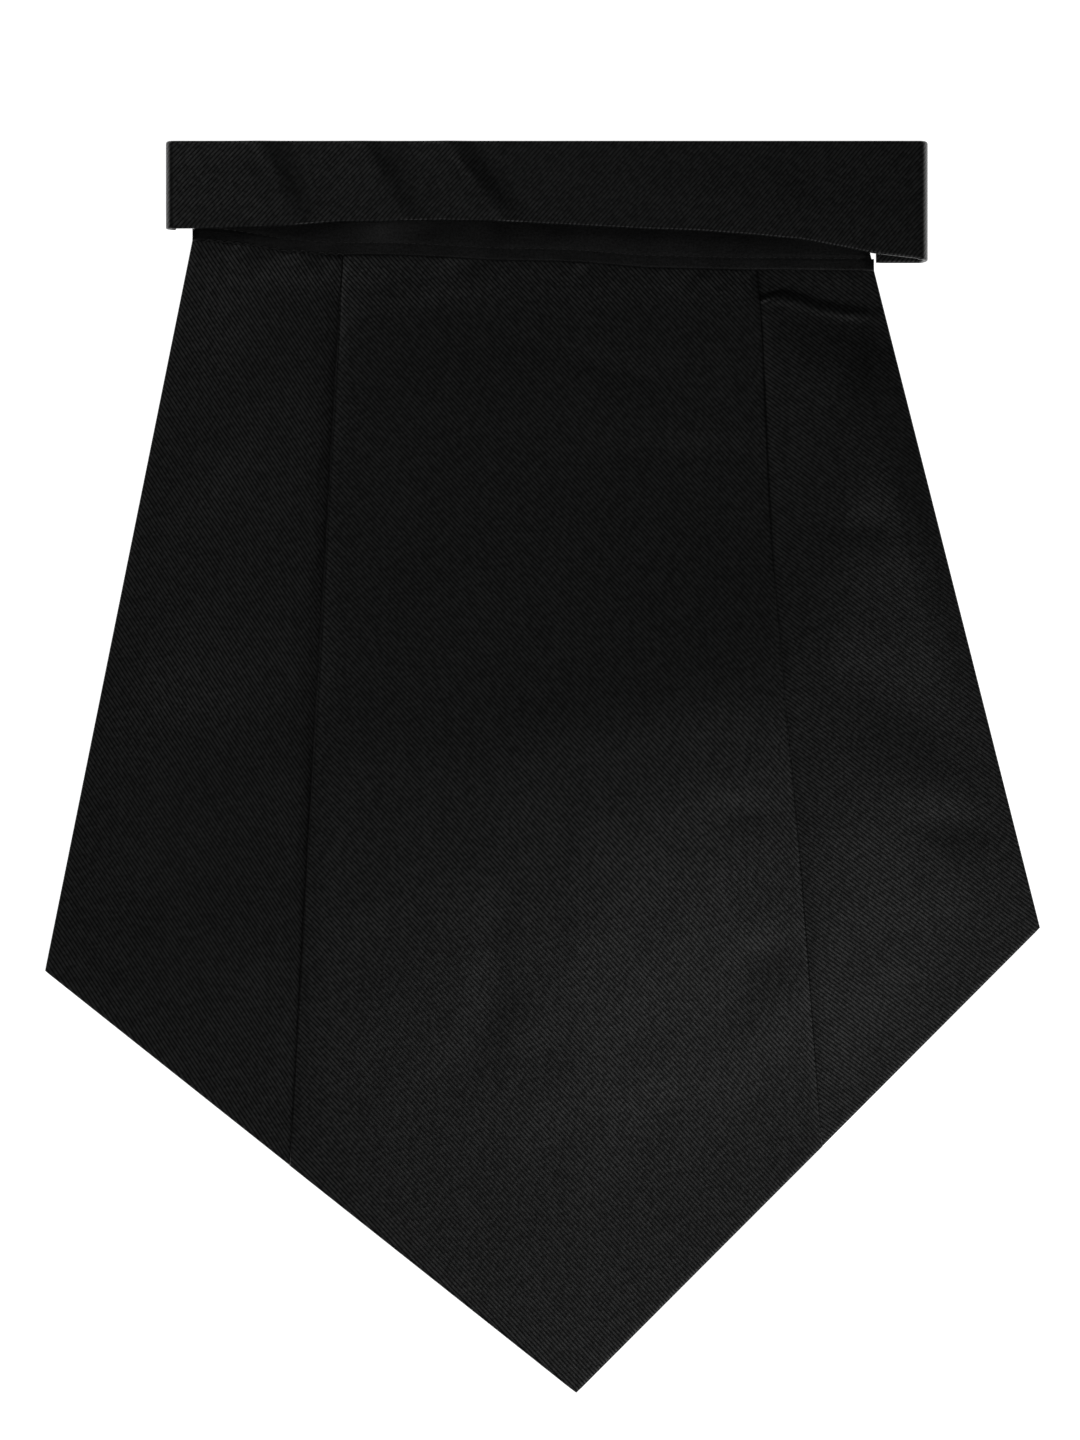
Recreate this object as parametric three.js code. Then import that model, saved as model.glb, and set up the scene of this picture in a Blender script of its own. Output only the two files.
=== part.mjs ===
// A black pleated cravat that lies flat with its face up. Millimetres, +Z up.
// X runs across it, +Y runs up to the neckband, and Z = 0 is the surface it lies on.
import * as THREE from "three";

// Cloth
const WALL = 1.0; // thickness of a cloth
const GAP = 0.3; // what neighbouring cloths keep between them
const LAYER = WALL + GAP; // from the middle of one layer to the middle of the next
const FOLD_RADIUS = LAYER / 2; // of a cloth's middle in a pressed fold
const FOLD_STEPS = 6;
const BOTTOM = WALL / 2; // height of the middle of a cloth that lies on the surface

// Outline of the blade, from the top of its left edge round its point to the top of its right edge
const LEFT_TOP = { x: -55.6, y: 86.2 };
const LEFT_CORNER = { x: -79.6, y: -32.7 };
const TIP = { x: 5.4, y: -100.24 };
const RIGHT_CORNER = { x: 79.6, y: -25.8 };
const RIGHT_TOP = { x: 52.7, y: 80.7 };
const HEM_WIDTH = 9;
const HEM_ROLL = FOLD_RADIUS + WALL / 2; // how far the hem's fold reaches past the flat cloth

// The two folds of the box pleat: where each crosses the hem and the top, and which way its side panel lies
const LEFT_PLEAT = { hem: -40.4, top: -31.9, side: -1 };
const RIGHT_PLEAT = { hem: 44.7, top: 34.3, side: 1 };
const PLEAT_DEPTH = 14.6; // cloth folded under at the top, and none at the hem
const LEAST_DEPTH = 0.8;
const PLEAT_LENGTH = 145;
const PLEAT_OPENS = 12; // the fold flattens into the hem over this length
const LEAST_TURN = 1.2; // radians of arc that the flattened fold keeps as length
const CENTRE_SAG = 0.5; // share of its height that the centre panel loses in the middle

// The lines across the top: the lower edge of the facing strip and of the neckband
const TOP_LINES = [
  { x: -60.1, facing: 84.2, band: 86.2 },
  { x: -49.8, facing: 83.8, band: 86.5 },
  { x: -41.0, facing: 82.3, band: 87.0 },
  { x: -31.8, facing: 81.7, band: 87.7 },
  { x: -16.5, facing: 81.4, band: 87.8 },
  { x: 2.8, facing: 80.7, band: 87.0 },
  { x: 24.7, facing: 79.5, band: 86.1 },
  { x: 41.4, facing: 79.3, band: 84.6 },
  { x: 52.7, facing: 79.2, band: 82.3 },
  { x: 61.5, facing: 79.2, band: 81.2 },
];
const TUCK_SHARE = 0.4; // how far the blade's top edge goes up under the facing strip

// Lining
const LINING_FOLD_Y = 88; // where it starts to turn over to the front
const FACING_UNDER_BAND = 3.9; // height of its middle under the neckband
const FACING_REACH = 0.8; // it stays on the raised centre panel this far past a pleat
const FACING_FALL = 4.2; // and comes down to the side panel over this width

// Neckband
const BAND_LEFT = -60.1;
const BAND_RIGHT = 61.5;
const BAND_TOP = 100.24;
const BAND_HEIGHT = 5.2; // of the middle of its front run
const BAND_COLUMNS = 5;
const TAIL_LOWER = 90.6; // lower edge of both tails
const UPPER_TAIL = { end: 54, clear: -56.3, height: BOTTOM + LAYER };
const LOWER_TAIL = { end: -47.3, clear: 53.8, height: BOTTOM };

// Clasp
const CLASP = { left: -57.6, right: -47.6, lower: 91, upper: 99.8, slot: 1.6, bar: 1.4, notch: 1.6 };

// Soft rises of the cloth: middle, half length, half width, angle of its length from +X, height
const BLADE_RISES = [
  { x: 2, y: -2, along: 45, across: 18, angle: 4, height: 1.0 },
  { x: -56, y: -8, along: 34, across: 8, angle: 68, height: 0.8 },
  { x: -62, y: 30, along: 20, across: 7, angle: 80, height: 0.6 },
  { x: 62, y: -2, along: 20, across: 9, angle: -18, height: 0.9 },
  { x: 49, y: 67, along: 14, across: 6, angle: -12, height: 0.8 },
  { x: 52, y: 34, along: 22, across: 9, angle: -60, height: 0.7 },
  { x: 13, y: 60, along: 16, across: 6, angle: -24, height: 0.6 },
  { x: -20, y: 66, along: 14, across: 6, angle: 30, height: 0.5 },
  { x: 0, y: -60, along: 30, across: 14, angle: 10, height: 0.6 },
];
const BAND_RISES = [
  { x: -44, y: 94, along: 12, across: 3, angle: -60, height: 0.5 },
  { x: -26, y: 94, along: 12, across: 3, angle: -55, height: 0.5 },
  { x: -10, y: 94, along: 12, across: 3, angle: -52, height: 0.4 },
  { x: 30, y: 92, along: 20, across: 4, angle: -8, height: 0.4 },
];

const TWILL = new THREE.MeshStandardMaterial({ color: 0x18191a, roughness: 0.62, metalness: 0 });
const SATIN = new THREE.MeshStandardMaterial({ color: 0x131415, roughness: 0.42, metalness: 0 });
const METAL = new THREE.MeshStandardMaterial({ color: 0x8b8d90, roughness: 0.35, metalness: 1 });

const { lerp, smoothstep, degToRad } = THREE.MathUtils;

function between(a, b, share) {
  return { x: lerp(a.x, b.x, share), y: lerp(a.y, b.y, share) };
}

// The value at x of a line through points in order of x, going on straight past its ends.
function along(points, x, key = "y") {
  const last = points.length - 2;
  const found = points.findIndex((p, i) => i <= last && x < points[i + 1].x);
  const i = found < 0 ? last : found;
  const share = (x - points[i].x) / (points[i + 1].x - points[i].x);
  return lerp(points[i][key], points[i + 1][key], share);
}

// The x of the blade's left or right edge at a height y.
function edgeX(corner, top, y) {
  return lerp(corner.x, top.x, (y - corner.y) / (top.y - corner.y));
}

function bladeTop(x) {
  return lerp(along(TOP_LINES, x, "facing"), along(TOP_LINES, x, "band"), TUCK_SHARE);
}

function rise(table, x, y) {
  let height = 0;
  for (const r of table) {
    const angle = degToRad(r.angle);
    const a = ((x - r.x) * Math.cos(angle) + (y - r.y) * Math.sin(angle)) / r.along;
    const b = ((y - r.y) * Math.cos(angle) - (x - r.x) * Math.sin(angle)) / r.across;
    height += r.height * Math.exp(-a * a - b * b);
  }
  return height;
}

// Gives a sheet of points and four-sided faces the thickness of the cloth, as one closed body.
function clothBody(points, faces) {
  const normals = points.map(() => new THREE.Vector3());
  const edges = new Map();
  for (const face of faces) {
    const [a, b, c, d] = face.map((i) => points[i]);
    const normal = new THREE.Vector3().crossVectors(c.clone().sub(a), d.clone().sub(b)).normalize();
    face.forEach((i, k) => {
      normals[i].add(normal);
      edges.set(i + "," + face[(k + 1) % 4], [i, face[(k + 1) % 4]]);
    });
  }
  const count = points.length;
  const positions = [];
  for (const side of [1, -1])
    points.forEach((p, i) => {
      const offset = normals[i].clone().setLength((side * WALL) / 2);
      positions.push(...p.clone().add(offset).toArray());
    });
  const index = [];
  const addFace = (a, b, c, d) => index.push(a, b, c, a, c, d);
  for (const [a, b, c, d] of faces) {
    addFace(a, b, c, d);
    addFace(d + count, c + count, b + count, a + count);
  }
  for (const [a, b] of edges.values())
    if (!edges.has(b + "," + a)) addFace(b, a, a + count, b + count);
  const geometry = new THREE.BufferGeometry();
  geometry.setAttribute("position", new THREE.Float32BufferAttribute(positions, 3));
  geometry.setIndex(index);
  geometry.computeVertexNormals();
  return geometry;
}

// The faces of a grid whose points are numbered row by row, each row as long as the first.
function gridFaces(rows, columns) {
  const faces = [];
  for (let r = 0; r < rows - 1; r++)
    for (let c = 0; c < columns - 1; c++) {
      const i = r * columns + c;
      faces.push([i, i + 1, i + 1 + columns, i + columns]);
    }
  return faces;
}

// The outline with its top ends moved to the blade's top edge.
function bladeOutline() {
  const leftY = bladeTop(LEFT_TOP.x);
  const rightY = bladeTop(RIGHT_TOP.x);
  return [
    { x: edgeX(LEFT_CORNER, LEFT_TOP, leftY), y: leftY },
    LEFT_CORNER,
    TIP,
    RIGHT_CORNER,
    { x: edgeX(RIGHT_CORNER, RIGHT_TOP, rightY), y: rightY },
  ];
}

// For each corner of the outline, the way in that keeps one distance from both of its edges.
function waysIn(outline) {
  const normals = outline.slice(1).map((p, i) => {
    const q = outline[i];
    const length = Math.hypot(p.x - q.x, p.y - q.y);
    return { x: (q.y - p.y) / length, y: (p.x - q.x) / length };
  });
  const last = normals.length;
  return outline.map((_, i) => {
    if (i === 0) return { x: 1 / normals[0].x, y: 0 };
    if (i === last) return { x: 1 / normals[last - 1].x, y: 0 };
    const [a, b] = [normals[i - 1], normals[i]];
    const scale = 1 / (1 + a.x * b.x + a.y * b.y);
    return { x: (a.x + b.x) * scale, y: (a.y + b.y) * scale };
  });
}

function inset(outline, distance) {
  const ways = waysIn(outline);
  return outline.map((p, i) => ({ x: p.x + ways[i].x * distance, y: p.y + ways[i].y * distance }));
}

// A fold of the pleat from the centre panel outwards and down, as steps { out, up } whose last is the side panel.
function pleatFold(fromHem) {
  const turn = Math.PI * smoothstep(fromHem, 0, PLEAT_OPENS);
  const depth = Math.max(LEAST_DEPTH, (PLEAT_DEPTH * fromHem) / PLEAT_LENGTH);
  const step = (FOLD_RADIUS * Math.max(turn, LEAST_TURN)) / FOLD_STEPS;
  const bend = (way) => Array(FOLD_STEPS).fill({ length: step, turn: (way * turn) / FOLD_STEPS });
  const moves = [...bend(-1), { length: depth, turn: 0 }, ...bend(1)];
  const path = [{ out: 0, up: 0 }];
  let heading = 0;
  for (const move of moves) {
    const from = path[path.length - 1];
    heading += move.turn / 2;
    path.push({
      out: from.out + move.length * Math.cos(heading),
      up: from.up + move.length * Math.sin(heading),
    });
    heading += move.turn / 2;
  }
  const low = path[path.length - 1].up;
  return path.map((p) => ({ out: p.out - HEM_ROLL, up: p.up - low }));
}

// Across one row of the blade: x and height of each column, from the left edge to the right.
function bladeRow(share, leftX, tipX, rightX) {
  const fold = pleatFold(share * PLEAT_LENGTH);
  const lift = fold[0].up;
  const folded = (pleat) =>
    fold.map((p) => ({ x: lerp(pleat.hem, pleat.top, share) + pleat.side * p.out, up: p.up }));
  const left = folded(LEFT_PLEAT).reverse();
  const right = folded(RIGHT_PLEAT);
  const centreFrom = left[left.length - 1].x;
  const centreTo = right[0].x;
  const run = (from, to, count, height) =>
    Array.from({ length: count - 1 }, (_, i) => {
      const x = lerp(from, to, (i + 1) / count);
      return { x, up: height(x) };
    });
  const flat = () => 0;
  const sagging = (x) =>
    lift * (1 - CENTRE_SAG * Math.sin((Math.PI * (x - centreFrom)) / (centreTo - centreFrom)));
  return [
    { x: leftX, up: 0 },
    ...run(leftX, left[0].x, 6, flat),
    ...left,
    ...run(centreFrom, tipX, 6, sagging),
    { x: tipX, up: sagging(tipX) },
    ...run(tipX, centreTo, 6, sagging),
    ...right,
    ...run(right[right.length - 1].x, rightX, 6, flat),
    { x: rightX, up: 0 },
  ];
}

// Distances above the hem, as shares of the blade's length.
function bladeShares() {
  const nearHem = [0, 1.5, 3, 4.5, 6, 7.5, 9, 10.5, 12.5, 17];
  const even = Array.from({ length: 13 }, (_, i) => 26 + (i * (PLEAT_LENGTH - 26)) / 12);
  return [...nearHem, ...even].map((d) => d / PLEAT_LENGTH);
}

function topPoint(x) {
  return { x, y: bladeTop(x) };
}

// The blade: a grid of columns that run from the hem to the top, and the hem turned under round it.
function blade() {
  const outline = bladeOutline();
  const [leftTop, leftCorner, tip, rightCorner, rightTop] = inset(outline, HEM_ROLL);
  const hemLine = [leftCorner, tip, rightCorner];
  const hemPoint = (x) => ({ x, y: along(hemLine, x) });
  const columns = [
    { from: leftCorner, to: leftTop },
    { from: hemPoint(LEFT_PLEAT.hem), to: topPoint(LEFT_PLEAT.top) },
    { from: tip, to: topPoint(TIP.x) },
    { from: hemPoint(RIGHT_PLEAT.hem), to: topPoint(RIGHT_PLEAT.top) },
    { from: rightCorner, to: rightTop },
  ];
  const points = [];
  const shares = bladeShares();
  let width = 0;
  for (const share of shares) {
    const line = columns.map((c) => between(c.from, c.to, share));
    const row = bladeRow(share, line[0].x, line[2].x, line[4].x);
    width = row.length;
    for (const p of row) {
      const y = along(line, p.x);
      const inside = Math.min(p.x - line[0].x, line[4].x - p.x, share * PLEAT_LENGTH);
      const fromEdge = Math.min(inside, (1 - share) * PLEAT_LENGTH);
      const soft = rise(BLADE_RISES, p.x, y) * smoothstep(fromEdge, 0, PLEAT_OPENS);
      points.push(new THREE.Vector3(p.x, y, BOTTOM + LAYER + p.up + soft));
    }
  }
  const faces = gridFaces(shares.length, width);
  const ways = waysIn(outline);
  const rim = [];
  for (let r = shares.length - 1; r > 0; r--)
    rim.push({ at: r * width, way: between(ways[1], ways[0], shares[r]) });
  for (let c = 0; c < width; c++) {
    const x = points[c].x;
    const leftPart = (x - leftCorner.x) / (tip.x - leftCorner.x);
    const rightPart = (x - tip.x) / (rightCorner.x - tip.x);
    const way = x < tip.x ? between(ways[1], ways[2], leftPart) : between(ways[2], ways[3], rightPart);
    rim.push({ at: c, way });
  }
  for (let r = 1; r < shares.length; r++)
    rim.push({ at: r * width + width - 1, way: between(ways[3], ways[4], shares[r]) });
  addHem(points, faces, rim);
  return clothBody(points, faces);
}

// Turns the cloth under along the rim: round a pressed fold, then back in for the hem's width.
function addHem(points, faces, rim) {
  const steps = 4;
  const section = Array.from({ length: steps }, (_, i) => {
    const angle = (Math.PI * (i + 1)) / steps;
    return { inward: -FOLD_RADIUS * Math.sin(angle), down: FOLD_RADIUS * (1 - Math.cos(angle)) };
  });
  section.push({ inward: HEM_WIDTH, down: LAYER });
  let before = rim.map((p) => p.at);
  for (const { inward, down } of section) {
    const now = rim.map(({ at, way }) => {
      const p = points[at];
      points.push(new THREE.Vector3(p.x + way.x * inward, p.y + way.y * inward, p.z - down));
      return points.length - 1;
    });
    for (let i = 0; i < rim.length - 1; i++) faces.push([before[i], now[i], now[i + 1], before[i + 1]]);
    before = now;
  }
}

// The height of the middle of the facing strip where it lies on the blade.
function facingHeight(x) {
  const onSide = BOTTOM + 2 * LAYER;
  const onCentre = onSide + 2 * LAYER;
  const past = Math.max(LEFT_PLEAT.top - x, x - RIGHT_PLEAT.top) - FACING_REACH;
  const share = (x - LEFT_PLEAT.top) / (RIGHT_PLEAT.top - LEFT_PLEAT.top);
  const sag = past > 0 ? 0 : 2 * LAYER * CENTRE_SAG * Math.max(0, Math.sin(Math.PI * share));
  return lerp(onCentre, onSide, THREE.MathUtils.clamp(past / FACING_FALL, 0, 1)) - sag;
}

// Where the lining's columns cross the top: evenly on each panel, and close together beside the pleats.
function liningColumns() {
  const left = LEFT_PLEAT.top;
  const right = RIGHT_PLEAT.top;
  const near = FACING_REACH;
  const far = FACING_REACH + FACING_FALL;
  const first = LEFT_TOP.x;
  const last = RIGHT_TOP.x;
  const even = (from, to, count) =>
    Array.from({ length: count }, (_, i) => lerp(from, to, i / count));
  return [
    ...even(first, left - far, 3),
    left - far,
    left - near,
    ...even(left + far, TIP.x, 4),
    ...even(TIP.x, right - far, 4),
    right - far,
    right + near,
    ...even(right + far, last, 3),
    last,
  ];
}

// The lining: a flat back inside the hem, turned over the blade's top edge to show as a strip in front.
function lining() {
  const outline = bladeOutline();
  const [leftTop, leftCorner, tip, rightCorner, rightTop] = inset(outline, HEM_ROLL + HEM_WIDTH + GAP);
  const stations = liningColumns();
  const first = stations[0];
  const last = stations[stations.length - 1];
  const points = [];
  const addRow = (left, middle, right, place) => {
    for (const x of stations) {
      const onLeft = x < TIP.x;
      const share = onLeft ? (x - first) / (TIP.x - first) : (x - TIP.x) / (last - TIP.x);
      points.push(place(onLeft ? between(left, middle, share) : between(middle, right, share), x));
    }
  };
  const flat = (p) => new THREE.Vector3(p.x, p.y, BOTTOM);
  const backRows = 6;
  for (let r = 0; r <= backRows; r++) {
    const share = r / backRows;
    const middle = between(tip, topPoint(TIP.x), share);
    addRow(between(leftCorner, leftTop, share), middle, between(rightCorner, rightTop, share), flat);
  }
  const aboveBlade = (p, by) => new THREE.Vector3(p.x, bladeTop(p.x) + by, BOTTOM);
  addRow(leftTop, topPoint(TIP.x), rightTop, (p) => aboveBlade(p, 2 * GAP));
  const across = (y, place) =>
    addRow(
      { x: edgeX(LEFT_CORNER, LEFT_TOP, y), y },
      { x: TIP.x, y },
      { x: edgeX(RIGHT_CORNER, RIGHT_TOP, y), y },
      place,
    );
  across(LINING_FOLD_Y, (p) => aboveBlade(p, 3 * GAP));
  across(LINING_FOLD_Y, flat);
  const radius = (FACING_UNDER_BAND - BOTTOM) / 2;
  for (let i = 1; i <= FOLD_STEPS; i++) {
    const angle = (Math.PI * i) / FOLD_STEPS;
    const y = LINING_FOLD_Y + radius * Math.sin(angle);
    across(LINING_FOLD_Y, (p) => new THREE.Vector3(p.x, y, BOTTOM + radius * (1 - Math.cos(angle))));
  }
  const bandY = (x) => along(TOP_LINES, x, "band") - 0.4;
  const tuckY = (x) => bladeTop(x) + GAP;
  const lowerY = (x) => along(TOP_LINES, x, "facing");
  const onBlade = (yOf) => (p, x) => new THREE.Vector3(x, yOf(x), facingHeight(x));
  across(LINING_FOLD_Y, (p, x) => new THREE.Vector3(x, bandY(x), FACING_UNDER_BAND));
  across(LINING_FOLD_Y, onBlade(tuckY));
  across(LINING_FOLD_Y, onBlade(lowerY));
  return clothBody(points, gridFaces(points.length / stations.length, stations.length));
}

// Half a turn at an end of the neckband, from one height to another.
function bandTurn(end, side, fromHeight, toHeight, lower) {
  const radius = Math.abs(toHeight - fromHeight) / 2;
  const x = end - side * (radius + WALL / 2);
  return Array.from({ length: FOLD_STEPS + 1 }, (_, i) => {
    const angle = (Math.PI * i) / FOLD_STEPS;
    const height = lerp(fromHeight, toHeight, (1 - Math.cos(angle)) / 2);
    return { x: x + side * radius * Math.sin(angle), height, lower };
  });
}

// The neckband: one strap from the end of the upper tail, over the front, to the end of the lower tail.
function neckband() {
  const leftLower = along(TOP_LINES, BAND_LEFT, "band");
  const rightLower = along(TOP_LINES, BAND_RIGHT, "band");
  const tail = (from, to, height) =>
    [0, 1, 2, 3].map((i) => ({ x: lerp(from, to, i / 3), height, lower: TAIL_LOWER }));
  const leftTurn = bandTurn(BAND_LEFT, -1, UPPER_TAIL.height, BAND_HEIGHT, leftLower);
  const rightTurn = bandTurn(BAND_RIGHT, 1, BAND_HEIGHT, LOWER_TAIL.height, rightLower);
  const frontFrom = leftTurn[FOLD_STEPS].x;
  const frontTo = rightTurn[0].x;
  const frontSteps = 26;
  const front = Array.from({ length: frontSteps - 1 }, (_, i) => {
    const x = lerp(frontFrom, frontTo, (i + 1) / frontSteps);
    return { x, height: BAND_HEIGHT, lower: along(TOP_LINES, x, "band"), front: true };
  });
  const stations = [
    ...tail(UPPER_TAIL.end, UPPER_TAIL.clear, UPPER_TAIL.height),
    ...leftTurn,
    ...front,
    ...rightTurn,
    ...tail(LOWER_TAIL.clear, LOWER_TAIL.end, LOWER_TAIL.height),
  ];
  const points = [];
  for (const s of stations)
    for (let c = 0; c <= BAND_COLUMNS; c++) {
      const y = lerp(BAND_TOP, s.lower, c / BAND_COLUMNS);
      const soft = s.front ? rise(BAND_RISES, s.x, y) : 0;
      points.push(new THREE.Vector3(s.x, y, s.height + soft));
    }
  const columns = BAND_COLUMNS + 1;
  return clothBody(points, gridFaces(points.length / columns, columns));
}

// The clasp: a flat hook plate with a slot for the strap and a notch in one side that makes the hook.
function clasp() {
  const { left, right, lower, upper, slot, bar, notch } = CLASP;
  const middle = (lower + upper) / 2;
  const neck = right - 2 * bar - slot;
  const outline = [
    [right, lower],
    [right, upper],
    [left + bar, upper],
    [left, upper - bar],
    [left, lower],
    [left + 2 * bar, lower],
    [left + 2 * bar, middle],
    [left + 2 * bar + notch, middle],
    [left + 2 * bar + notch, lower],
  ];
  const slotOutline = [
    [neck + bar, lower + bar],
    [neck + bar, upper - bar],
    [neck + bar + slot, upper - bar],
    [neck + bar + slot, lower + bar],
  ];
  const corners = (list) => list.map(([x, y]) => new THREE.Vector2(x, y));
  const shape = new THREE.Shape(corners(outline));
  shape.holes.push(new THREE.Path(corners(slotOutline)));
  return new THREE.ExtrudeGeometry(shape, { depth: WALL, bevelEnabled: false });
}

function piece(name, geometry, material) {
  const mesh = new THREE.Mesh(geometry, material);
  mesh.name = name;
  return mesh;
}

const cravat = new THREE.Group();
cravat.add(piece("blade", blade(), TWILL));
cravat.add(piece("lining", lining(), SATIN));
cravat.add(piece("neckband", neckband(), TWILL));
cravat.add(piece("clasp", clasp(), METAL));

export default cravat;
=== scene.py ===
import math

import bpy
import numpy as np
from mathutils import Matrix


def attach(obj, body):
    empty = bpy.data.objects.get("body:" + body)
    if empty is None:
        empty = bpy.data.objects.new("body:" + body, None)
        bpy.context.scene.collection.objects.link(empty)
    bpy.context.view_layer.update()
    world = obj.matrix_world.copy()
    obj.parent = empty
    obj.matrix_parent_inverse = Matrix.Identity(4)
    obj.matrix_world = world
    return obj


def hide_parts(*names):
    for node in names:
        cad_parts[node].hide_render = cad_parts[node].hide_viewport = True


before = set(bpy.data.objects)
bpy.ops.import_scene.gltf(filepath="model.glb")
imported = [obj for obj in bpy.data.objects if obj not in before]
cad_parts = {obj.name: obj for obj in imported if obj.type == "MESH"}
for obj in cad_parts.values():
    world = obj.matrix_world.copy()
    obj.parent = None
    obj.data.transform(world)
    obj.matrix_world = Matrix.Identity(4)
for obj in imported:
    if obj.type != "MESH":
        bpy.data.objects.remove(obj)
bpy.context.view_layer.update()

# A black pleated cravat lying face up: its cloths with their real folds, twill, satin and stitching.

# Lengths below are in millimetres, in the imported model's frame.
MM = 0.001

# Cloths
TWILL_WALL = 0.34  # thickness of the blade's cloth
SATIN_WALL = 0.30  # thickness of the lining
BAND_WALL = 0.8  # thickness of the neckband, cloth folded to a flat tube
BAND_CLOTH = 0.34  # thickness of its cloth
HEM_RADIUS = 0.22  # of the cloth's middle where the hem turns under
PRESSED_RADIUS = 0.19  # of the pleats where the seam and the hem press them
SEAM_FLAT = 1.0  # length below the seam over which they stay fully pressed
FOLD_STEPS = 9
DEPTH_STEPS = 4

# Outline of the blade
LEFT_TOP = (-55.6, 86.2)
LEFT_CORNER = (-79.6, -32.7)
TIP = (5.4, -100.24)
RIGHT_CORNER = (79.6, -25.8)
RIGHT_TOP = (52.7, 80.7)
HEM_WIDTH = 9.0
HEM_ROLL = HEM_RADIUS + TWILL_WALL / 2
BOTTOM = TWILL_WALL / 2  # height of the middle of the cloth that lies on the surface
FRONT = BOTTOM + 2 * HEM_RADIUS  # height of the side panels' middle

# The two folds of the box pleat: where each crosses the hem and the top, which way its side panel
# lies, how far it bows to the left between them, the radius of its folds, and over what length the
# seam presses it at the top
LEFT_PLEAT = {"hem": -40.4, "top": -31.9, "side": -1, "bow": 0.0, "radius": 0.65, "pressed": 22.0}
RIGHT_PLEAT = {"hem": 44.7, "top": 34.3, "side": 1, "bow": 1.0, "radius": 0.36, "pressed": 8.0}
BOW_MIDDLE = 0.64  # where a pleat bows most, as a share of the way from the hem to the top
BOW_LENGTH = 0.22  # and over what share of it
PLEAT_DEPTH = 14.6  # cloth folded under at the top
LEAST_DEPTH = 0.3  # cloth still folded under at the hem
PLEAT_LENGTH = 145.0  # of the pleats' lines, from the hem to the top
PLEAT_OPENS = 7.0  # length over which a pleat opens out above the hem
HEM_TURN = 1.8  # radians that the pleat's folds still turn at the hem
PLEAT_RISES = 85.0  # length over which its folds reach their full radius
CENTRE_SAG = 0.3  # share of its edges' lift that the centre panel loses in its middle
HEM_SAG = 0.9  # the same at the hem
SAG_LENGTH = 55.0  # length over which the one sag passes into the other
TIP_ROUND = 22.0  # how widely the corner above the tip is rounded in what changes up from the hem
SHOULDER = 0.06  # share of its lift that the centre panel's left edge rolls down before its fold
SHOULDER_WIDTH = 1.6  # over which that roll fades into the panel
RIGHT_DIP = 0.12  # how far the right side panel sinks where it goes under the centre panel
DIP_WIDTH = 0.9  # over which that dip fades into the side panel
DIP_HEM = 20.0  # and over which it sets in above the hem

# The lines across the top: the facing strip's lower edge, the seam line that the blade is tucked
# towards, and the neckband's lower edge
TOP_LINES = np.array(
    [  # x, facing, seam, strap
        (-60.1, 84.2, 86.2, 85.55),
        (-55.9, 84.1, 86.25, 85.6),
        (-49.8, 83.8, 86.5, 85.75),
        (-45.2, 83.1, 86.7, 85.85),
        (-41.0, 82.3, 87.0, 85.95),
        (-35.6, 81.9, 87.5, 86.4),
        (-31.8, 81.7, 87.7, 86.7),
        (-25.2, 81.75, 87.7, 86.7),
        (-16.5, 81.4, 87.8, 86.9),
        (-8.4, 80.9, 87.5, 86.75),
        (2.8, 80.7, 87.0, 86.2),
        (7.9, 80.4, 86.8, 85.95),
        (16.4, 79.7, 86.4, 85.5),
        (24.7, 79.5, 86.1, 85.2),
        (33.0, 79.3, 85.4, 84.6),
        (41.4, 79.3, 84.6, 83.8),
        (47.8, 79.2, 83.6, 82.6),
        (52.7, 79.2, 82.3, 81.65),
        (58.2, 79.2, 81.6, 81.0),
        (61.5, 79.2, 81.2, 80.65),
    ]
)
TUCK_SHARE = 0.4  # how far from the first line to the second the blade's top edge goes up
LINING_FOLD_Y = 88.0  # where the lining starts to turn over to the front

# Neckband
BAND_LEFT = -60.1
BAND_RIGHT = 61.5
BAND_TOP = 99.76
BAND_HEIGHT = 5.2  # of the middle of its front run
BESIDE_FOLD = 0.01  # share of the strap's width beside each fold in which it goes flat
FOLD_REACH = 0.08  # how far the pressed fold of its lower edge stands out
BAND_BEHIND = 80.35  # lower edge of the part that has turned behind on the right
BEHIND_ENDS = 53.45  # where that part ends and the narrower tail begins
TAIL_LOWER = 90.6  # lower edge of both tails
# The tails: where each ends, where it first has its own width beside its turn, and its height
UPPER_TAIL = {"end": 54.0, "clear": -56.3, "height": 1.8}
LOWER_TAIL = {"end": -47.3, "clear": 53.35, "height": 0.5}
TURN_STEPS = 14
TURN_REACH = 1.0  # how far the strap's middle reaches past its flat run where it turns behind

# Rises of the cloth: middle, half length, half width, angle of its length from +X, height
LEFT_RISES = [
    # x, y, along, across, angle, height
    (-59, 49, 12, 6.0, 18, -0.50),
    (-58, 4, 16, 12, 10, 0.90),
    (-64, -22, 12, 6.5, 42, -0.60),
    (-53, -43, 8, 2.2, -67, 0.26),
    (-49, 72, 12, 10, 10, 0.30),
]
CENTRE_RISES = [
    (10, 64.2, 12, 2.2, -16, -0.38),
    (22, 50, 13, 2.4, -2, -0.26),
    (-19.5, 76.2, 8, 1.7, 7, -0.26),
    (32, -7, 4, 1.6, -10, -0.13),
    (-8, -34, 15, 3.0, 84, -0.12),
    (35, -30, 4, 2.5, 20, -0.12),
]
RIGHT_RISES = [
    (69, -9.5, 8, 3.0, -8, -0.38),
    (58, 10, 17, 6.0, -28, -0.25),
    (52, 38.5, 12, 2.5, -3, -0.16),
    (60, -3, 20, 14, -10, 0.45),
]
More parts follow.
